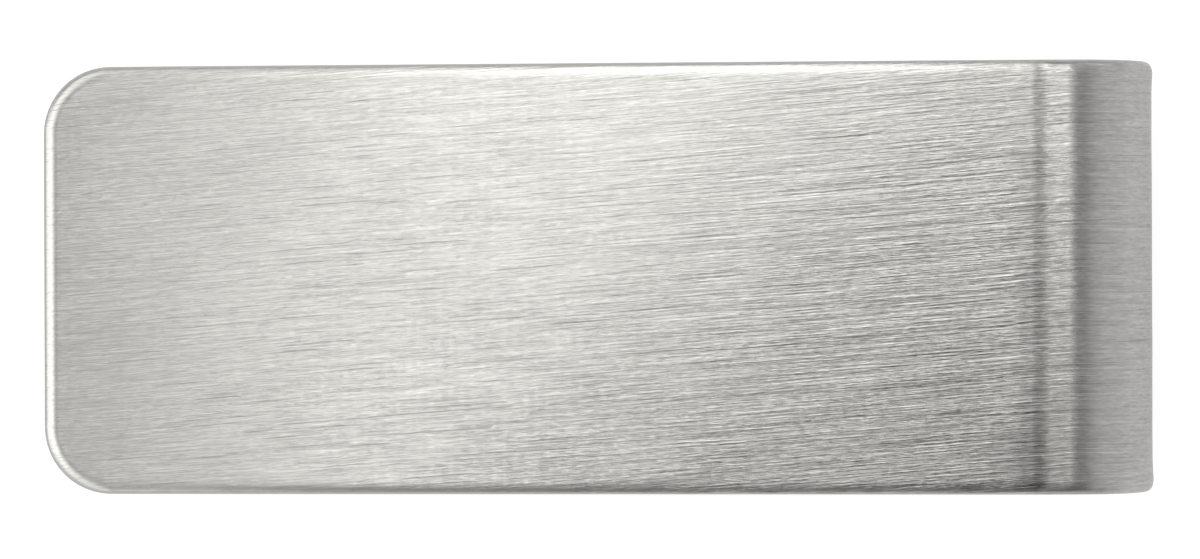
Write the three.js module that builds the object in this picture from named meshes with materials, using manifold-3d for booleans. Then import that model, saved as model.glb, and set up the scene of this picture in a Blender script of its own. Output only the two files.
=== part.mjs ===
import * as THREE from 'three';
import { mergeVertices } from 'three/addons/utils/BufferGeometryUtils.js';
import Module from 'manifold-3d';

const wasm = await Module();
wasm.setup();

// The strip, in millimetres.
const WIDTH = 20.0;
const THICK = 1.0;
const EDGE_ROUND = 0.4;

// The bends, as radii of the strip's middle line in millimetres and angles in degrees.
const FOLD_RADIUS = 3.4;
const FOLD_CENTRE_X = 22.0;
const EASE_RADIUS = 7.0;
const EASE_TURN = 6.0;
const FRONT_SLOPE = 5.5;
const CREASE_RADIUS = 10.0;
const BACK_RISE = 3.8;
const RIDGE_RADIUS = 6.0;
const LIP_DROP = 16.5;

// The straight runs, measured along the strip.
const FRONT_LEAF_RUN = 46.091;
const HEEL_RUN = 0.676;
const BACK_LEAF_RUN = 35.33;
const LIP_RUN = 7.86;

// The rounded corners of the two free ends, in plan.
const FRONT_CORNER = 3.15;
const LIP_CORNER = 3.0;

// Neighbouring sections stand this far apart at each seam.
const SEAM_GAP = 0.02;

// Fineness of the curves.
const ARC_SEGMENTS = 4;
const CORNER_SEGMENTS = 6;
const DEGREES_PER_STEP = 5;

const STEEL = { color: 0xc9c6c0, roughness: 0.34, metalness: 1.0 };

const rad = THREE.MathUtils.degToRad;
const arc = (radius, degrees) => radius * rad(degrees);

// The middle line from the front leaf's free end to the lip's tip: straights and bends in order.
// The fold tightens from the heel in two steps, an easy bend first.
// A negative turn wraps the strip round the notes, and a positive one bends it back outwards.
const FRONT_TURN = -FRONT_SLOPE;
const RIDGE_TURN = BACK_RISE + LIP_DROP;
const PATH = [
  { run: FRONT_LEAF_RUN, turn: 0 },
  { run: arc(CREASE_RADIUS, FRONT_SLOPE), turn: FRONT_TURN },
  { run: HEEL_RUN, turn: 0 },
  { run: arc(EASE_RADIUS, EASE_TURN), turn: -EASE_TURN },
  { run: arc(FOLD_RADIUS, 90 - EASE_TURN), turn: EASE_TURN - 90 },
  { run: arc(FOLD_RADIUS, 90 + BACK_RISE), turn: -90 - BACK_RISE },
  { run: BACK_LEAF_RUN, turn: 0 },
  { run: arc(RIDGE_RADIUS, RIDGE_TURN), turn: RIDGE_TURN },
  { run: LIP_RUN, turn: 0 },
];

// The point and heading reached after a run and a turn from a given pose.
function advance(pose, run, turn) {
  if (turn === 0) {
    return {
      x: pose.x + run * Math.cos(pose.heading),
      z: pose.z + run * Math.sin(pose.heading),
      heading: pose.heading,
    };
  }
  const heading = pose.heading + rad(turn);
  const radius = run / rad(turn);
  return {
    x: pose.x + radius * (Math.sin(heading) - Math.sin(pose.heading)),
    z: pose.z - radius * (Math.cos(heading) - Math.cos(pose.heading)),
    heading,
  };
}

// The start is set so that the outermost point of the fold comes out at its stated place above the base.
const PARTS_TO_APEX = 5;
function startPose() {
  let pose = { x: 0, z: 0, heading: rad(FRONT_SLOPE) };
  for (const part of PATH.slice(0, PARTS_TO_APEX)) {
    pose = advance(pose, part.run, part.turn);
  }
  const apexX = FOLD_CENTRE_X + FOLD_RADIUS;
  const apexZ = THICK / 2 + FOLD_RADIUS;
  return { x: apexX - pose.x, z: apexZ - pose.z, heading: rad(FRONT_SLOPE) };
}

const START = startPose();

// The pose of the middle line at a distance along the strip.
function poseAt(distance) {
  let pose = START;
  let left = distance;
  for (const part of PATH) {
    if (left <= part.run) {
      return advance(pose, left, part.turn * (left / part.run));
    }
    pose = advance(pose, part.run, part.turn);
    left -= part.run;
  }
  return advance(pose, left, 0);
}

const stations = [0];
for (const part of PATH) {
  stations.push(stations[stations.length - 1] + part.run);
}
const [, LEAF_END, , HEEL_END, , APEX, FOLD_END, RIDGE_START, RIDGE_END, STRIP_END] = stations;

// A flat blank has X along the strip, Y across it and Z towards its outer face. Bending puts it in place.
function bend(geometry) {
  const position = geometry.attributes.position;
  for (let i = 0; i < position.count; i += 1) {
    const pose = poseAt(position.getX(i));
    const out = position.getZ(i);
    const x = pose.x - out * Math.sin(pose.heading);
    const z = pose.z + out * Math.cos(pose.heading);
    position.setXYZ(i, x, position.getY(i), z);
  }
  geometry.deleteAttribute('normal');
  geometry.deleteAttribute('uv');
  geometry.computeVertexNormals();
  return geometry;
}

// The strip's cross-section: a rectangle with all four edges rounded.
function crossSection() {
  const halfWidth = WIDTH / 2 - EDGE_ROUND;
  const halfThick = THICK / 2 - EDGE_ROUND;
  const shape = new THREE.Shape();
  shape.absarc(halfWidth, halfThick, EDGE_ROUND, 0, Math.PI / 2, false);
  shape.absarc(-halfWidth, halfThick, EDGE_ROUND, Math.PI / 2, Math.PI, false);
  shape.absarc(-halfWidth, -halfThick, EDGE_ROUND, Math.PI, 1.5 * Math.PI, false);
  shape.absarc(halfWidth, -halfThick, EDGE_ROUND, 1.5 * Math.PI, 2 * Math.PI, false);
  shape.closePath();
  return shape;
}

// A section of constant cross-section between two distances along the strip.
function section(from, to, steps) {
  const start = from + SEAM_GAP / 2;
  const depth = to - from - SEAM_GAP;
  const options = { depth, steps, curveSegments: ARC_SEGMENTS / 2, bevelEnabled: false };
  const blank = new THREE.ExtrudeGeometry(crossSection(), options);
  const axes = new THREE.Matrix4().makeBasis(
    new THREE.Vector3(0, 1, 0),
    new THREE.Vector3(0, 0, 1),
    new THREE.Vector3(1, 0, 0),
  );
  blank.applyMatrix4(axes);
  blank.translate(start, 0, 0);
  return bend(blank);
}

function toManifold(geometry) {
  const plain = geometry.clone();
  plain.deleteAttribute('normal');
  plain.deleteAttribute('uv');
  const merged = mergeVertices(plain, 1e-5);
  return new wasm.Manifold(new wasm.Mesh({
    numProp: 3,
    vertProperties: new Float32Array(merged.attributes.position.array),
    triVerts: new Uint32Array(merged.index.array),
  }));
}

function toGeometry(solid) {
  const mesh = solid.getMesh();
  const geometry = new THREE.BufferGeometry();
  geometry.setAttribute('position', new THREE.BufferAttribute(mesh.vertProperties, 3));
  geometry.setIndex(new THREE.BufferAttribute(mesh.triVerts, 1));
  geometry.computeVertexNormals();
  return geometry;
}

// A flat free end: a plate with two rounded corners, rounded on every edge and cut square at the seam.
// It is drawn with its free end at zero, running towards positive X.
function freeEnd(run, corner) {
  const half = WIDTH / 2;
  const far = run + WIDTH / 2;
  const plan = new THREE.Shape();
  plan.moveTo(far, -half);
  plan.lineTo(far, half);
  plan.lineTo(corner, half);
  plan.absarc(corner, half - corner, corner, Math.PI / 2, Math.PI, false);
  plan.absarc(corner, corner - half, corner, Math.PI, 1.5 * Math.PI, false);
  plan.closePath();
  const plate = new THREE.ExtrudeGeometry(plan, {
    depth: THICK - 2 * EDGE_ROUND,
    curveSegments: CORNER_SEGMENTS,
    bevelEnabled: true,
    bevelThickness: EDGE_ROUND,
    bevelSize: EDGE_ROUND,
    bevelOffset: -EDGE_ROUND,
    bevelSegments: ARC_SEGMENTS,
  });
  plate.translate(0, 0, EDGE_ROUND - THICK / 2);
  const kept = run - SEAM_GAP / 2;
  const keep = new THREE.BoxGeometry(kept + WIDTH, 2 * WIDTH, 2 * WIDTH);
  keep.translate((kept - WIDTH) / 2, 0, 0);
  return toGeometry(toManifold(plate).intersect(toManifold(keep)));
}

function frontLeaf() {
  return bend(freeEnd(FRONT_LEAF_RUN, FRONT_CORNER));
}

function entryLip() {
  const blank = freeEnd(LIP_RUN, LIP_CORNER);
  blank.rotateZ(Math.PI);
  blank.translate(STRIP_END, 0, 0);
  return bend(blank);
}

const stepsFor = (degrees) => Math.ceil(degrees / DEGREES_PER_STEP);
const HEEL_STEPS = 8;
const RIDGE_STEPS = 2 * stepsFor(RIDGE_TURN);

const NODES = {
  front_leaf: frontLeaf(),
  front_heel: section(LEAF_END, HEEL_END, HEEL_STEPS),
  fold_front_half: section(HEEL_END, APEX, stepsFor(90)),
  fold_back_half: section(APEX, FOLD_END, stepsFor(90 + BACK_RISE)),
  back_leaf: section(FOLD_END, RIDGE_START, 1),
  grip_ridge: section(RIDGE_START, RIDGE_END, RIDGE_STEPS),
  entry_lip: entryLip(),
};

const clip = new THREE.Group();
clip.name = 'money_clip';
for (const [name, geometry] of Object.entries(NODES)) {
  const mesh = new THREE.Mesh(geometry, new THREE.MeshStandardMaterial(STEEL));
  mesh.name = name;
  clip.add(mesh);
}

export default clip;
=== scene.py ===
"""The looks of a folded spring-steel money clip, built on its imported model."""

import math

import bpy
import numpy as np
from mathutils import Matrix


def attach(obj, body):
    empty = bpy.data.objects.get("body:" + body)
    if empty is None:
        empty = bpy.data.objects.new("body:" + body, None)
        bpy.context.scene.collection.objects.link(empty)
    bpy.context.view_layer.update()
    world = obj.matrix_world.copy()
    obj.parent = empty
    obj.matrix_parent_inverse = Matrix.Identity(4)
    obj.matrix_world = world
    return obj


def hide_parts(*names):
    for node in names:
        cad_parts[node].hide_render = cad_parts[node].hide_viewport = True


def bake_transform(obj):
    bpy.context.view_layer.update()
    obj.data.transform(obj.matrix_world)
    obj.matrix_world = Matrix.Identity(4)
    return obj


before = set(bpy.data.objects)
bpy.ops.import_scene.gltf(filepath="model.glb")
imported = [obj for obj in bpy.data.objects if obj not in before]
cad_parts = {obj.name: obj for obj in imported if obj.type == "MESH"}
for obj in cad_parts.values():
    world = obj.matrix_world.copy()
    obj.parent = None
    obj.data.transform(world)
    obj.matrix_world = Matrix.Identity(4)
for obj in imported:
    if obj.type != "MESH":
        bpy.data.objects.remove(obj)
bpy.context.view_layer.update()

# The strip, in millimetres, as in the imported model.
MM = 0.001
WIDTH = 20.0
THICK = 1.0
EDGE_ROUND = 0.4

# The rounded edges reach this far in from the outline, on a superellipse of this power.
EDGE_WIDTH = 0.72
EDGE_SOFTNESS = 2.5

# The bends: radii of the strip's middle line in millimetres, angles in degrees.
FOLD_RADIUS = 3.4
FOLD_CENTRE_X = 22.0
EASE_RADIUS = 7.0
EASE_TURN = 6.0
FRONT_SLOPE = 5.5
CREASE_RADIUS = 10.0
BACK_RISE = 3.8
RIDGE_RADIUS = 6.0
LIP_DROP = 16.5

# The straight runs, and the rounded corners of the two free ends.
FRONT_LEAF_RUN = 46.091
HEEL_RUN = 0.676
BACK_LEAF_RUN = 35.33
LIP_RUN = 7.86
FRONT_CORNER = 3.15
LIP_CORNER = 3.0

# Fineness of the meshes: rows by length on the flats and at the crease, and by turn on the bends.
RIM_STEPS = 10
CORNER_STEPS = 12
FLAT_COLUMNS = 26
FLAT_ROW = 0.8
CREASE_ROW = 0.2
BEND_ROW_DEGREES = 2.0


# ---------------------------------------------------------------- the strip's middle line

def arc(radius, degrees):
    return radius * math.radians(degrees)


RIDGE_TURN = BACK_RISE + LIP_DROP
PATH = [
    (FRONT_LEAF_RUN, 0.0),
    (arc(CREASE_RADIUS, FRONT_SLOPE), -FRONT_SLOPE),
    (HEEL_RUN, 0.0),
    (arc(EASE_RADIUS, EASE_TURN), -EASE_TURN),
    (arc(FOLD_RADIUS, 90.0 - EASE_TURN), EASE_TURN - 90.0),
    (arc(FOLD_RADIUS, 90.0 + BACK_RISE), -90.0 - BACK_RISE),
    (BACK_LEAF_RUN, 0.0),
    (arc(RIDGE_RADIUS, RIDGE_TURN), RIDGE_TURN),
    (LIP_RUN, 0.0),
]
PARTS_TO_APEX = 5

STATIONS = [0.0]
for run, _ in PATH:
    STATIONS.append(STATIONS[-1] + run)
LEAF_END, CREASE_END, FOLD_START = STATIONS[1:4]
FOLD_END = STATIONS[6]
STRIP_END = STATIONS[9]
CREASE_MIDDLE = (LEAF_END + CREASE_END) / 2
HEEL_MIDDLE = (LEAF_END + FOLD_START) / 2


def advance(pose, run, turn):
    """The point and heading reached after a run and a turn, in degrees, from a given pose."""
    x, z, heading = pose
    if turn == 0.0:
        return x + run * math.cos(heading), z + run * math.sin(heading), heading
    new = heading + math.radians(turn)
    radius = run / math.radians(turn)
    return (
        x + radius * (math.sin(new) - math.sin(heading)),
        z - radius * (math.cos(new) - math.cos(heading)),
        new,
    )


def start_pose():
    pose = (0.0, 0.0, math.radians(FRONT_SLOPE))
    for run, turn in PATH[:PARTS_TO_APEX]:
        pose = advance(pose, run, turn)
    apex_x = FOLD_CENTRE_X + FOLD_RADIUS
    apex_z = THICK / 2 + FOLD_RADIUS
    return apex_x - pose[0], apex_z - pose[1], math.radians(FRONT_SLOPE)


START = start_pose()


def pose_at(distance):
    """x, z and heading of the middle line at a distance along the strip."""
    pose = START
    left = distance
    for run, turn in PATH:
        if left <= run:
            return advance(pose, left, turn * left / run)
        pose = advance(pose, run, turn)
        left -= run
    return advance(pose, left, 0.0)


# ---------------------------------------------------------------- small departures from flat

# The fold's long edges curl up into ears: their height, the place across the strip where they start, how
# steeply they rise, and the stretch from each end of the fold over which they fade in.
EAR_HEIGHT = 0.07
EAR_START = 8.2
EAR_POWER = 1.5
EAR_FADE = (0.3, 3.2)

# The lip rises a little over its last stretch, so that its tip stays just clear of the floor.
TIP_RAISE = 0.03
TIP_REACH = 5.0

# Faint waves all over the strip, more of them on the fold, and some along the lines of the crease.
WAVES = [
    # height, waves per mm along, waves per mm across, phase
    (0.0022, 0.060, 0.045, 0.4),
    (0.0016, 0.110, -0.080, 2.1),
    (0.0010, 0.050, 0.190, 4.0),
]
FOLD_WAVES = [
    (0.0040, 0.20, 0.16, 0.9),
    (0.0022, 0.15, 0.37, 3.3),
]
CREASE_WAVES = [
    # height, waves per mm across, phase
    (0.0032, 0.07, 1.0),
    (0.0024, 0.19, 4.1),
    (0.0012, 0.55, 0.3),
]
CREASE_REACH = 0.9
CREASE_PLACES = [
    # distance along the strip, share of the waves' height
    (CREASE_MIDDLE, 1.0),
    (FOLD_START, -0.7),
]

# The front leaf is a shade crowned across its width: the tilt in degrees at its long edges, and where it
# fades out, measured from the start of the fold.
CROWN = 4.8
CROWN_FADE = (-0.2, 1.2)


def smooth(value, low, high):
    t = np.clip((value - low) / (high - low), 0.0, 1.0)
    return t * t * (3.0 - 2.0 * t)


def wave(turns, phase):
    return np.sin(2 * math.pi * turns + phase)


def lift(s, y):
    """How far the strip stands off its ideal surface: faint waves, and edges that curl up at the fold."""
    fade_in = smooth(s, FOLD_START + EAR_FADE[0], FOLD_START + EAR_FADE[1])
    fade_out = smooth(s, FOLD_END - EAR_FADE[1], FOLD_END - EAR_FADE[0])
    on_fold = fade_in * (1 - fade_out)
    height = EAR_HEIGHT * on_fold * smooth(np.abs(y), EAR_START, WIDTH / 2) ** EAR_POWER
    height = height - TIP_RAISE * smooth(s, STRIP_END - TIP_REACH, STRIP_END)
    for size, along, across, phase in WAVES:
        height = height + size * wave(along * s + across * y, phase)
    for place, share in CREASE_PLACES:
        nearness = np.exp(-(((s - place) / CREASE_REACH) ** 2))
        for size, across, phase in CREASE_WAVES:
            height = height + size * share * nearness * wave(across * y, phase + place)
    for size, along, across, phase in FOLD_WAVES:
        height = height + size * on_fold * wave(along * s + across * y, phase)
    return height


# ---------------------------------------------------------------- strip meshes

HALF = WIDTH / 2 - EDGE_WIDTH
FLAT = THICK / 2 - EDGE_ROUND


def column_places():
    """Places across the strip of the flat faces' columns, closer together where the corners are."""
    centre = WIDTH / 2 - FRONT_CORNER
    radius = HALF - centre
    right = [centre + radius * math.sin(math.pi / 2 * k / CORNER_STEPS) for k in range(1, CORNER_STEPS + 1)]
    middle = list(np.linspace(-centre, centre, FLAT_COLUMNS + 1))
    return np.array([-v for v in reversed(right)] + middle + right)


COLUMNS = column_places()


def end_inset(y, corner):
    """How far in from a free end the flat face starts at each column, and the way out from there."""
    centre = WIDTH / 2 - corner
    radius = HALF - centre
    sine = np.clip((np.abs(y) - centre) / radius, 0.0, 1.0)
    cosine = np.sqrt(1.0 - sine ** 2)
    inset = EDGE_WIDTH + radius * (1.0 - cosine)
    return inset, cosine, sine * np.sign(y)


SHORTEST_STRETCH = 1e-9


def row_places(start, end):
    """Distances along the strip of the rows, close together on the bends."""
    places = []
    for (run, turn), low in zip(PATH, STATIONS):
        a = max(start, low)
        b = min(end, low + run)
        if b - a < SHORTEST_STRETCH:
            continue
        at_crease = abs(a - CREASE_MIDDLE) < 2 * CREASE_REACH and b - a < 2 * CREASE_REACH
        if at_crease:
            count = math.ceil((b - a) / CREASE_ROW)
        elif turn == 0.0:
            count = math.ceil((b - a) / FLAT_ROW)
        else:
            count = math.ceil(abs(turn) * (b - a) / run / BEND_ROW_DEGREES)
        places += list(np.linspace(a, b, count + 1)[:-1])
    return np.array(places + [end])


# The rows near a free end follow its rounded outline, and run straight from this far in.
END_REACH = 2.0 * max(FRONT_CORNER, LIP_CORNER)


def flat_grid(start, end, free_start, free_end):
    """Distance along the strip of each vertex of the flat faces: one row per line, one column per place."""
    rows = row_places(start, end)
    grid = np.repeat(rows[:, None], len(COLUMNS), axis=1)
    if free_start:
        inset, _, _ = end_inset(COLUMNS, free_start)
        share = 1.0 - np.clip((grid - start) / END_REACH, 0.0, 1.0)
        grid = grid + inset[None, :] * share
    if free_end:
        inset, _, _ = end_inset(COLUMNS, free_end)
        share = 1.0 - np.clip((end - grid) / END_REACH, 0.0, 1.0)
        grid = grid - inset[None, :] * share
    return grid


class Sheet:
    """Collects vertices in the flat strip's own coordinates: along, across and outwards, in millimetres."""

    def __init__(self):
        self.places = []
        self.normals = []
        self.rim = []
        self.faces = []
        self.charts = []

    def vertex(self, place, normal, rim):
        self.places.append(place)
        self.normals.append(normal)
        self.rim.append(rim)
        return len(self.places) - 1

    def quad(self, corners, chart):
        self.faces.append(corners)
        self.charts.append(chart)


def rim_profile():
    """Steps over a rounded edge, from outer face to inner: distance out, height, normal out, normal up."""
    upper = []
    for k in range(1, RIM_STEPS + 1):
        angle = math.pi / 2 * k / RIM_STEPS
        out = EDGE_WIDTH * math.sin(angle) ** (2 / EDGE_SOFTNESS)
        up = FLAT + EDGE_ROUND * math.cos(angle)
        n_out = EDGE_SOFTNESS / EDGE_WIDTH * math.sin(angle) ** (2 - 2 / EDGE_SOFTNESS)
        n_up = 2 / EDGE_ROUND * math.cos(angle)
        size = math.hypot(n_out, n_up)
        upper.append((out, up, n_out / size, n_up / size))
    return upper + [(out, -up, n_out, -n_up) for out, up, n_out, n_up in reversed(upper)]


RIM = rim_profile()


def add_faces(sheet, grid):
    """The outer and inner flat faces. Returns the vertex numbers of both."""
    rows, columns = grid.shape
    numbers = []
    for side in (1, -1):
        layer = np.zeros(grid.shape, int)
        for i in range(rows):
            for j in range(columns):
                place = (grid[i, j], COLUMNS[j], side * THICK / 2)
                layer[i, j] = sheet.vertex(place, (0.0, 0.0, side), 0.0)
        for i in range(rows - 1):
            for j in range(columns - 1):
                ring = [layer[i, j], layer[i + 1, j], layer[i + 1, j + 1], layer[i, j + 1]]
                sheet.quad(ring if side > 0 else ring[::-1], "outer" if side > 0 else "inner")
        numbers.append(layer)
    return numbers


def add_rim(sheet, outer, inner, ways):
    """Rounds the edge along a line of boundary vertices. ways holds each one's direction out, in plan."""
    lines = []
    for top, low, (way_s, way_y) in zip(outer, inner, ways):
        s, y, _ = sheet.places[top]
        line = [top]
        for out, up, n_out, n_up in RIM:
            place = (s + out * way_s, y + out * way_y, up)
            line.append(sheet.vertex(place, (n_out * way_s, n_out * way_y, n_up), n_out ** 2))
        lines.append(line + [low])
    for line, following in zip(lines, lines[1:]):
        for k in range(len(line) - 1):
            sheet.quad([line[k], following[k], following[k + 1], line[k + 1]], "rim")


def boundary(layer, free_start, free_end):
    """Runs of boundary vertices, each going round the strip clockwise seen from outside."""
    left = list(layer[:, 0])
    right = list(layer[:, -1])
    start = list(layer[0, :])
    end = list(layer[-1, :])
    if free_start:
        return [left[::-1] + start[1:-1] + right]
    if free_end:
        return [right + end[::-1][1:-1] + left[::-1]]
    return [left[::-1], right]


def ways_out(sheet, line, start, end, free_start, free_end):
    """Direction out of the outline at each boundary vertex."""
    ways = []
    for number in line:
        s, y, _ = sheet.places[number]
        corner, at_end, sign = (free_start, s - start, -1.0) if free_start else (free_end, end - s, 1.0)
        if corner and at_end < corner:
            _, cosine, sine = end_inset(np.array([y]), corner)
            ways.append((sign * float(cosine[0]), float(sine[0])))
        else:
            ways.append((0.0, math.copysign(1.0, y)))
    return ways


SLOPE_STEP = 0.01


def bent(places, normals):
    """Puts flat places and normals on the bent strip, in metres."""
    s, y, n = places.T
    height = lift(s, y)
    slope_s = (lift(s + SLOPE_STEP, y) - lift(s - SLOPE_STEP, y)) / (2 * SLOPE_STEP)
    slope_y = (lift(s, y + SLOPE_STEP) - lift(s, y - SLOPE_STEP)) / (2 * SLOPE_STEP)
    poses = np.array([pose_at(min(max(v, 0.0), STRIP_END)) for v in s])
    over = s - np.clip(s, 0.0, STRIP_END)
    x0, z0, heading = poses.T
    x0 = x0 + over * np.cos(heading)
    z0 = z0 + over * np.sin(heading)
    along = np.stack([np.cos(heading), np.zeros_like(s), np.sin(heading)], axis=1)
    outward = np.stack([-np.sin(heading), np.zeros_like(s), np.cos(heading)], axis=1)
    middle = np.stack([x0, y, z0], axis=1)
    points = middle + outward * (n + height)[:, None]
    ns, ny, nn = normals.T
    on_leaf = 1 - smooth(s, FOLD_START + CROWN_FADE[0], FOLD_START + CROWN_FADE[1])
    crown = math.radians(CROWN) * on_leaf * y / (WIDTH / 2)
    ns = ns - slope_s * nn
    ny = ny + (crown - slope_y) * nn
    turned = along * ns[:, None] + outward * nn[:, None]
    turned[:, 1] += ny
    turned /= np.linalg.norm(turned, axis=1)[:, None]
    return points * MM, turned


# Millimetres of strip to one unit of the UV map, and how far the inner face's chart is set aside.
UV_SCALE = 60.0
INNER_CHART = 30.0


def strip_piece(name, start, end, free_start=None, free_end=None):
    """A stretch of the strip as one mesh, with rounded edges. free_start and free_end are corner radii."""
    sheet = Sheet()
    grid = flat_grid(start, end, free_start, free_end)
    outer, inner = add_faces(sheet, grid)
    rims = zip(boundary(outer, free_start, free_end), boundary(inner, free_start, free_end))
    for outer_line, inner_line in rims:
        ways = ways_out(sheet, outer_line, start, end, free_start, free_end)
        add_rim(sheet, outer_line, inner_line, ways)
    places = np.array(sheet.places)
    points, normals = bent(places, np.array(sheet.normals, float))
    mesh = bpy.data.meshes.new(name)
    mesh.from_pydata(points.tolist(), [], sheet.faces)
    mesh.update()
    blank = mesh.attributes.new("blank", "FLOAT_VECTOR", "POINT")
    blank.data.foreach_set("vector", places.astype(np.float32).ravel())
    rim = mesh.attributes.new("rim", "FLOAT", "POINT")
    rim.data.foreach_set("value", np.array(sheet.rim, np.float32))
    uv = mesh.uv_layers.new(name="strip")
    for polygon, chart in zip(mesh.polygons, sheet.charts):
        for loop in polygon.loop_indices:
            s, y, n = places[mesh.loops[loop].vertex_index]
            across = INNER_CHART + y if chart == "inner" else y
            drop = (THICK / 2 - n) if chart == "rim" else 0.0
            uv.data[loop].uv = (s / UV_SCALE, (across + math.copysign(drop, y)) / UV_SCALE)
    mesh.shade_smooth()
    mesh.normals_split_custom_set_from_vertices(normals.tolist())
    piece = bpy.data.objects.new(name, mesh)
    bpy.context.scene.collection.objects.link(piece)
    return piece


# ---------------------------------------------------------------- shader nodes

class Nodes:
    """Short names for the nodes of one material or world."""

    def __init__(self, tree):
        self.tree = tree
        tree.nodes.clear()

    def add(self, kind, **settings):
        node = self.tree.nodes.new(kind)
        for key, value in settings.items():
            setattr(node, key, value)
        return node

    def put(self, socket, value):
        if isinstance(value, bpy.types.NodeSocket):
            self.tree.links.new(value, socket)
        else:
            socket.default_value = value

    def math(self, operation, a, b=0.0, c=0.0):
        node = self.add("ShaderNodeMath", operation=operation)
        self.put(node.inputs[0], a)
        self.put(node.inputs[1], b)
        self.put(node.inputs[2], c)
        return node.outputs[0]

    def span(self, value, low, high, to_low=0.0, to_high=1.0):
        """A smooth step from to_low, at low, to to_high, at high."""
        node = self.add("ShaderNodeMapRange", clamp=True, interpolation_type="SMOOTHSTEP")
        self.put(node.inputs["Value"], value)
        self.put(node.inputs["From Min"], low)
        self.put(node.inputs["From Max"], high)
        self.put(node.inputs["To Min"], to_low)
        self.put(node.inputs["To Max"], to_high)
        return node.outputs["Result"]

    def vector(self, x, y, z):
        node = self.add("ShaderNodeCombineXYZ")
        self.put(node.inputs[0], x)
        self.put(node.inputs[1], y)
        self.put(node.inputs[2], z)
        return node.outputs[0]

    def split(self, vector):
        node = self.add("ShaderNodeSeparateXYZ")
        self.put(node.inputs[0], vector)
        return node.outputs

    def noise(self, vector, detail=2.0, roughness=0.5):
        node = self.add("ShaderNodeTexNoise", noise_dimensions="3D")
        self.put(node.inputs["Vector"], vector)
        node.inputs["Scale"].default_value = 1.0
        node.inputs["Detail"].default_value = detail
        node.inputs["Roughness"].default_value = roughness
        return node.outputs["Fac"]

    def attribute(self, name):
        return self.add("ShaderNodeAttribute", attribute_type="GEOMETRY", attribute_name=name)

    def centred(self, value, weight):
        """weight times (value - 0.5)."""
        return self.math("MULTIPLY", self.math("SUBTRACT", value, 0.5), weight)

    def changed(self, value, weight):
        """1 plus weight times value."""
        return self.math("MULTIPLY_ADD", value, weight, 1.0)

    def total(self, *values):
        result = values[0]
        for value in values[1:]:
            result = self.math("ADD", result, value)
        return result

    def product(self, *values):
        result = values[0]
        for value in values[1:]:
            result = self.math("MULTIPLY", result, value)
        return result


# ---------------------------------------------------------------- brushed steel

STEEL = (0.557, 0.551, 0.525)
FOLD_STEEL = (0.560, 0.554, 0.543)

# Highlights are drawn out across the brush, a quarter turn from the strip's length.
ANISOTROPY = 0.88
ACROSS_THE_BRUSH = 0.25

# The brush crosses the front leaf at a slight slant and runs almost square over the fold: degrees.
BRUSH_TILT = 4.3
FOLD_BRUSH_TILT = 0.8

# It also sways a little: millimetres, and waves per mm along and across.
SWAY = 0.3
SWAY_ALONG = 0.04
SWAY_ACROSS = 0.08

# The streaks are noises drawn out along the brush, and stretched this much into the metal.
STREAKS = {
    # waves per mm along, waves per mm across, shift, detail, roughness
    "grit": (3.0, 14.0, 5.0, 1.0, 0.5),
    "fine": (0.50, 14.0, 3.0, 2.0, 0.6),
    "middle": (0.30, 4.5, 11.0, 2.0, 0.55),
    "long": (0.12, 8.0, 23.0, 1.0, 0.5),
    "cloud": (0.09, 0.5, 31.0, 3.0, 0.6),
    "broad": (0.12, 1.6, 59.0, 1.0, 0.5),
    "patch": (0.30, 1.1, 71.0, 2.0, 0.5),
    "hair": (0.18, 8.0, 47.0, 1.0, 0.5),
}
INTO_THE_METAL = 0.5

# What the streaks add to the brightness, to the roughness and to the height.
SHADE_SHARES = {"grit": 0.42, "fine": 0.44, "middle": 0.10, "long": 0.18}
CLOUD_SHADE = 0.08
ROUGH_SHARES = {"middle": -0.16, "fine": -0.10, "cloud": 0.10}
HEIGHT_SHARES = {"fine": 0.76, "middle": 0.42, "long": 0.55, "broad": 1.25}
BUMP_HEIGHT = 0.020

# Single dark and light scratches lie where the hair noise is lowest and highest.
DARK_HAIRS = (0.37, 0.27)
LIGHT_HAIRS = (0.65, 0.75)
DARK_SHADE = -0.16
LIGHT_SHADE = 0.10
DARK_HEIGHT = -0.25

# The brush bites harder towards the fold and the lower long edge, and deeper in some patches than in
# others. Smooth steps: from, to, value before, value after.
BITE_SLANT = -0.9
BITE = (22.0, 44.0, 0.70, 1.60)
PATCHES = (0.36, 0.64, 0.85, 1.15)

# It is fainter on the fold, on the inner face and on the rounded edges, and less deep at the crease.
FOLD_STREAKS = -0.2
INNER_STREAKS = -0.35
RIM_STREAKS = -0.6
CREASE_STREAKS = (1.1, 1.9, 0.55, 1.0)

# The steel's roughness and what these places add to it. The rounded edges' colour is also a shade brighter,
# most at their outer side: a painted highlight along them.
ROUGHNESS = 0.225
FOLD_ROUGHNESS = 0.05
INNER_ROUGHNESS = 0.05
RIM_ROUGHNESS = -0.06
RIM_PAINTED_HIGHLIGHT = 0.15

# The inner face takes over from the outer one through the strip, and the fold from the leaf along it.
INNER_FACE = (0.05, -0.05)
FOLD_FADE = (-0.3, 0.8)


def brush_lane(n, s, y):
    """The place across the brush: constant along each streak."""
    flat_rise = n.math("MULTIPLY", n.math("MINIMUM", s, FOLD_START), math.tan(math.radians(BRUSH_TILT)))
    past_fold = n.math("MAXIMUM", n.math("SUBTRACT", s, FOLD_START), 0.0)
    fold_rise = n.math("MULTIPLY", past_fold, math.tan(math.radians(FOLD_BRUSH_TILT)))
    swaying = n.vector(n.math("MULTIPLY", s, SWAY_ALONG), n.math("MULTIPLY", y, SWAY_ACROSS), 0.0)
    straight = n.math("SUBTRACT", n.math("SUBTRACT", y, flat_rise), fold_rise)
    return n.math("ADD", straight, n.centred(n.noise(swaying), SWAY))


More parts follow.
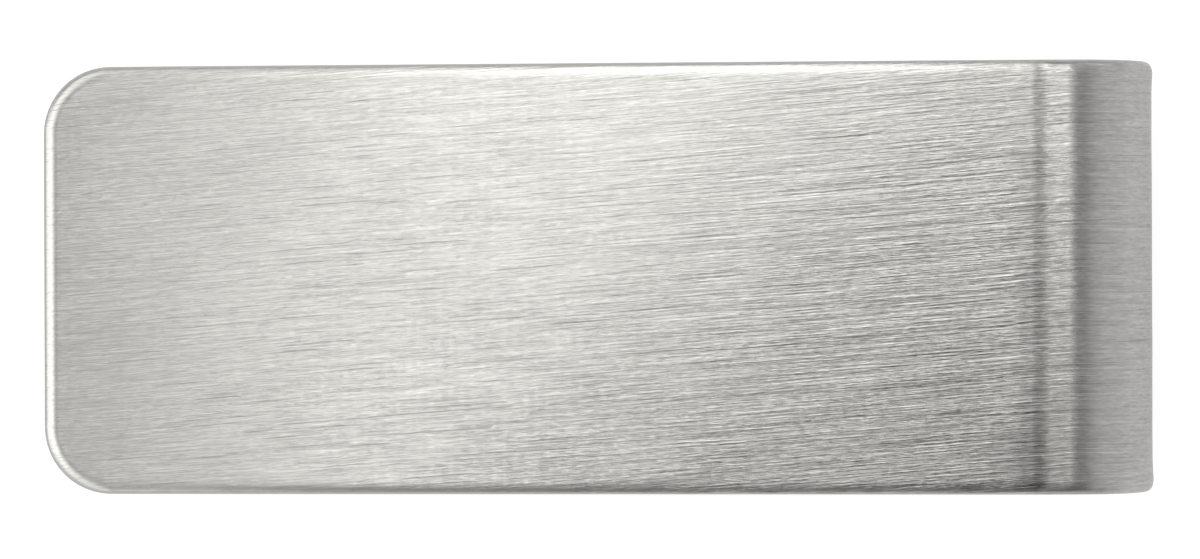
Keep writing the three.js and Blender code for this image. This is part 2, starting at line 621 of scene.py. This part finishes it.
def streak_layers(n, s, lane, out):
    layers = {}
    for name, (per_mm_along, per_mm_across, shift, detail, roughness) in STREAKS.items():
        along = n.math("MULTIPLY_ADD", s, per_mm_along, shift)
        across = n.math("MULTIPLY", lane, per_mm_across)
        depth = n.math("MULTIPLY", out, per_mm_across * INTO_THE_METAL)
        layers[name] = n.noise(n.vector(along, across, depth), detail, roughness)
    return layers


def blend_of(n, layers, shares):
    return n.total(*[n.centred(layers[name], share) for name, share in shares.items()])


def brushed_steel():
    material = bpy.data.materials.new("brushed_spring_steel")
    material.use_nodes = True
    n = Nodes(material.node_tree)
    output = n.add("ShaderNodeOutputMaterial")
    shader = n.add("ShaderNodeBsdfPrincipled")
    n.put(output.inputs["Surface"], shader.outputs["BSDF"])

    s, y, out = n.split(n.attribute("blank").outputs["Vector"])
    rim = n.attribute("rim").outputs["Fac"]
    inner = n.span(out, *INNER_FACE)
    on_fold = n.span(s, FOLD_START + FOLD_FADE[0], FOLD_START + FOLD_FADE[1])

    layers = streak_layers(n, s, brush_lane(n, s, y), out)
    dark_lines = n.span(layers["hair"], *DARK_HAIRS)
    light_lines = n.span(layers["hair"], *LIGHT_HAIRS)
    strength = n.product(
        n.changed(on_fold, FOLD_STREAKS),
        n.span(n.math("MULTIPLY_ADD", y, BITE_SLANT, s), *BITE),
        n.changed(inner, INNER_STREAKS),
        n.changed(rim, RIM_STREAKS),
    )

    grain = blend_of(n, layers, SHADE_SHARES)
    darker = n.math("MULTIPLY", dark_lines, DARK_SHADE)
    lighter = n.math("MULTIPLY", light_lines, LIGHT_SHADE)
    shade = n.math("MULTIPLY", n.total(grain, darker, lighter), strength)
    shade = n.total(shade, n.centred(layers["cloud"], CLOUD_SHADE), 1.0)
    # Lifting the rounded edges' colour paints a highlight along them.
    shade = n.math("MULTIPLY", shade, n.changed(rim, RIM_PAINTED_HIGHLIGHT))
    tint = n.add("ShaderNodeMix", data_type="VECTOR", factor_mode="UNIFORM")
    n.put(tint.inputs[0], on_fold)
    n.put(tint.inputs[4], STEEL)
    n.put(tint.inputs[5], FOLD_STEEL)
    colour = n.add("ShaderNodeVectorMath", operation="SCALE")
    n.put(colour.inputs[0], tint.outputs[1])
    n.put(colour.inputs["Scale"], shade)
    n.put(shader.inputs["Base Color"], colour.outputs[0])

    rough = n.total(
        blend_of(n, layers, ROUGH_SHARES),
        ROUGHNESS,
        n.math("MULTIPLY", on_fold, FOLD_ROUGHNESS),
        n.math("MULTIPLY", inner, INNER_ROUGHNESS),
        n.math("MULTIPLY", rim, RIM_ROUGHNESS),
    )
    n.put(shader.inputs["Roughness"], rough)

    from_crease = n.math("ABSOLUTE", n.math("SUBTRACT", s, HEEL_MIDDLE))
    relief = n.total(blend_of(n, layers, HEIGHT_SHARES), n.math("MULTIPLY", dark_lines, DARK_HEIGHT))
    patches = n.span(layers["patch"], *PATCHES)
    height = n.product(relief, patches, n.span(from_crease, *CREASE_STREAKS), strength)
    bump = n.add("ShaderNodeBump")
    bump.inputs["Strength"].default_value = 1.0
    bump.inputs["Distance"].default_value = BUMP_HEIGHT * MM
    n.put(bump.inputs["Height"], height)
    n.put(shader.inputs["Normal"], bump.outputs["Normal"])

    tangent = n.add("ShaderNodeTangent", direction_type="UV_MAP", uv_map="strip")
    n.put(shader.inputs["Tangent"], tangent.outputs["Tangent"])
    shader.inputs["Metallic"].default_value = 1.0
    shader.inputs["Anisotropic"].default_value = ANISOTROPY
    shader.inputs["Anisotropic Rotation"].default_value = ACROSS_THE_BRUSH
    return material


# ---------------------------------------------------------------- the clip

steel = brushed_steel()

front = strip_piece("front_strip", 0.0, FOLD_START, free_start=FRONT_CORNER)
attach(front, "front_body")
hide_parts("front_leaf", "front_heel")

back = strip_piece("back_strip", FOLD_END, STRIP_END, free_end=LIP_CORNER)
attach(back, "back_body")
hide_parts("back_leaf", "grip_ridge", "entry_lip")

# The fold runs from its upper end, at the front leaf, to its lower end, at the back leaf.
fold = strip_piece("fold_strip", FOLD_START, FOLD_END)
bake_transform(fold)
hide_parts("fold_front_half", "fold_back_half")

for piece in (front, fold, back):
    piece.data.materials.append(steel)


# ---------------------------------------------------------------- floor

WHITE = (1.0, 1.0, 1.0, 1.0)
FLOOR_SIZE = 3.0
FLOOR_COLOUR = (0.45, 0.45, 0.448, 1.0)
FLOOR_ROUGHNESS = 0.9
FLOOR_SPECULAR = 0.1

# The floor glows a little, and more so where it is seen directly, so that it comes out plain white.
FLOOR_GLOW = 0.33
FLOOR_LIFT = 0.46


def make_floor():
    mesh = bpy.data.meshes.new("studio_floor")
    h = FLOOR_SIZE / 2
    mesh.from_pydata([(-h, -h, 0), (h, -h, 0), (h, h, 0), (-h, h, 0)], [], [(0, 1, 2, 3)])
    floor = bpy.data.objects.new("studio_floor", mesh)
    bpy.context.scene.collection.objects.link(floor)
    material = bpy.data.materials.new("pale_floor")
    material.use_nodes = True
    n = Nodes(material.node_tree)
    output = n.add("ShaderNodeOutputMaterial")
    shader = n.add("ShaderNodeBsdfPrincipled")
    shader.inputs["Base Color"].default_value = FLOOR_COLOUR
    shader.inputs["Roughness"].default_value = FLOOR_ROUGHNESS
    shader.inputs["Specular IOR Level"].default_value = FLOOR_SPECULAR
    shader.inputs["Emission Color"].default_value = WHITE
    seen = n.add("ShaderNodeLightPath").outputs["Is Camera Ray"]
    n.put(shader.inputs["Emission Strength"], n.math("MULTIPLY_ADD", seen, FLOOR_LIFT, FLOOR_GLOW))
    n.put(output.inputs["Surface"], shader.outputs["BSDF"])
    mesh.materials.append(material)


make_floor()


# ---------------------------------------------------------------- light

# Brightness of the light tent, by degrees from straight up: negative is towards the clip's open end.
TENT_TOP = 3.0
TENT = [
    (-180, 0.75), (-125, 0.90), (-92, 1.25), (-62, 1.80), (-44, 2.20), (-32, 1.50), (-24, 0.62),
    (-18, 0.46), (-15.6, 0.84), (-13.6, 2.02), (-11.6, 2.24), (-10, 0.70), (-8, 0.45), (-5.5, 0.86),
    (-3.3, 0.15), (0.6, 0.11), (3.1, 0.60), (5, 2.25), (7, 0.68), (10, 0.255), (14, 0.26), (20, 0.37),
    (31, 0.52), (52, 0.63), (76, 0.70), (95, 0.75), (130, 0.72), (180, 0.75),
]

# Smooth steps in the direction that the light comes from: from, to, value before, value after.
# ALONG and ACROSS are the parts of that direction along the clip and across it, ANGLE is in radians.

# Overhead the tent gets brighter from the lower long edge to the upper one, but not far to either end.
SLANT_ACROSS = (-0.265, 0.250, -1.06, 1.0)
SLANT_ALONG = (-0.187, -0.166, -0.04, 0.95)
SLANT_ANGLE_NEAR = (0.0, 0.08, 1.0, 0.50)
SLANT_ANGLE_FAR = (0.12, 0.5, 1.0, 0.0)
SLANT_SIDEWAYS = (0.6, 0.9, 1.0, 0.45)

# It is darker low down beyond the upper edge.
BEYOND_ACROSS = (0.30, 0.60)
BEYOND_UP = (0.42, 0.12)
BEYOND_LOSS = -0.75

# From overhead to the fold's end it is brighter towards the upper edge, and past the open end it is darker
# to both sides.
OVERHEAD_ANGLE = (-0.70, -0.48)
OVERHEAD_ACROSS = (0.15, 0.5, 0.0, 0.34)
FLANK_SIDEWAYS = (0.25, 0.6, 0.0, -0.3)

# It is darker beyond the lower edge, most of all straight overhead.
NEAR_ACROSS = (-0.75, -0.35)
NEAR_LEVEL = 0.85
NEAR_LOSS_ALONG = (-0.24, -0.14, 0.0, -0.45)
NEAR_LOSS_PAST = (0.06, -0.02, 0.5, 1.0)


def tent_ramp(n, angle):
    """The tent's brightness by angle."""
    ramp = n.add("ShaderNodeValToRGB")
    ramp.color_ramp.interpolation = "EASE"
    elements = ramp.color_ramp.elements
    while len(elements) > 1:
        elements.remove(elements[-1])
    for k, (degrees, level) in enumerate(TENT):
        position = degrees / 360 + 0.5
        element = elements[0] if k == 0 else elements.new(position)
        element.position = position
        element.color = (level / TENT_TOP, level / TENT_TOP, level / TENT_TOP, 1.0)
    n.put(ramp.inputs["Fac"], n.math("MULTIPLY_ADD", angle, 1 / (2 * math.pi), 0.5))
    return n.math("MULTIPLY", ramp.outputs["Color"], TENT_TOP)


def tent_level(n):
    """The tent's brightness in every direction."""
    x, y, z = n.split(n.add("ShaderNodeTexCoord").outputs["Generated"])
    angle = n.math("ARCTAN2", x, z)
    sideways = n.math("ABSOLUTE", y)

    slant = n.product(
        n.span(x, *SLANT_ALONG),
        n.span(angle, *SLANT_ANGLE_FAR),
        n.span(angle, *SLANT_ANGLE_NEAR),
        n.span(sideways, *SLANT_SIDEWAYS),
        n.span(y, *SLANT_ACROSS),
    )
    beyond = n.math("MULTIPLY", n.span(y, *BEYOND_ACROSS), n.span(z, *BEYOND_UP))
    overhead = n.span(angle, *OVERHEAD_ANGLE)
    boost = n.math("MULTIPLY", n.span(y, *OVERHEAD_ACROSS), overhead)
    flank = n.math("MULTIPLY", n.span(sideways, *FLANK_SIDEWAYS), n.math("SUBTRACT", 1.0, overhead))
    loss = n.math("MULTIPLY", n.span(x, *NEAR_LOSS_ALONG), n.span(x, *NEAR_LOSS_PAST))
    near = n.span(y, *NEAR_ACROSS, n.math("ADD", loss, NEAR_LEVEL), 1.0)
    return n.product(
        tent_ramp(n, angle),
        n.total(boost, flank, 1.0),
        n.changed(beyond, BEYOND_LOSS),
        near,
        n.math("ADD", slant, 1.0),
    )


def make_world():
    """The tent lights the clip, and shows as plain white where it is seen directly."""
    world = bpy.data.worlds.new("studio")
    bpy.context.scene.world = world
    world.use_nodes = True
    n = Nodes(world.node_tree)
    tent = n.add("ShaderNodeBackground")
    tent.inputs["Color"].default_value = WHITE
    n.put(tent.inputs["Strength"], tent_level(n))
    plain = n.add("ShaderNodeBackground")
    plain.inputs["Color"].default_value = WHITE
    mix = n.add("ShaderNodeMixShader")
    n.put(mix.inputs[0], n.add("ShaderNodeLightPath").outputs["Is Camera Ray"])
    n.put(mix.inputs[1], tent.outputs[0])
    n.put(mix.inputs[2], plain.outputs[0])
    output = n.add("ShaderNodeOutputWorld")
    n.put(output.inputs["Surface"], mix.outputs[0])


make_world()
bpy.context.scene.view_settings.view_transform = "Standard"


# ---------------------------------------------------------------- camera

# The camera looks straight down on the clip, from almost above its middle: metres and degrees.
CAMERA_PLACE = (0.00015, -0.00004, 0.228)
CAMERA_ROLL = -0.2
SENSOR_WIDTH = 36.0
FOCAL_WIDTHS = 4.0
CLIP_START = 0.01


def make_camera():
    data = bpy.data.cameras.new("camera")
    data.sensor_fit = "HORIZONTAL"
    data.sensor_width = SENSOR_WIDTH
    data.lens = SENSOR_WIDTH * FOCAL_WIDTHS
    data.clip_start = CLIP_START
    camera = bpy.data.objects.new("camera", data)
    camera.location = CAMERA_PLACE
    camera.rotation_euler = (0.0, 0.0, math.radians(CAMERA_ROLL))
    bpy.context.scene.collection.objects.link(camera)
    bpy.context.scene.camera = camera


make_camera()
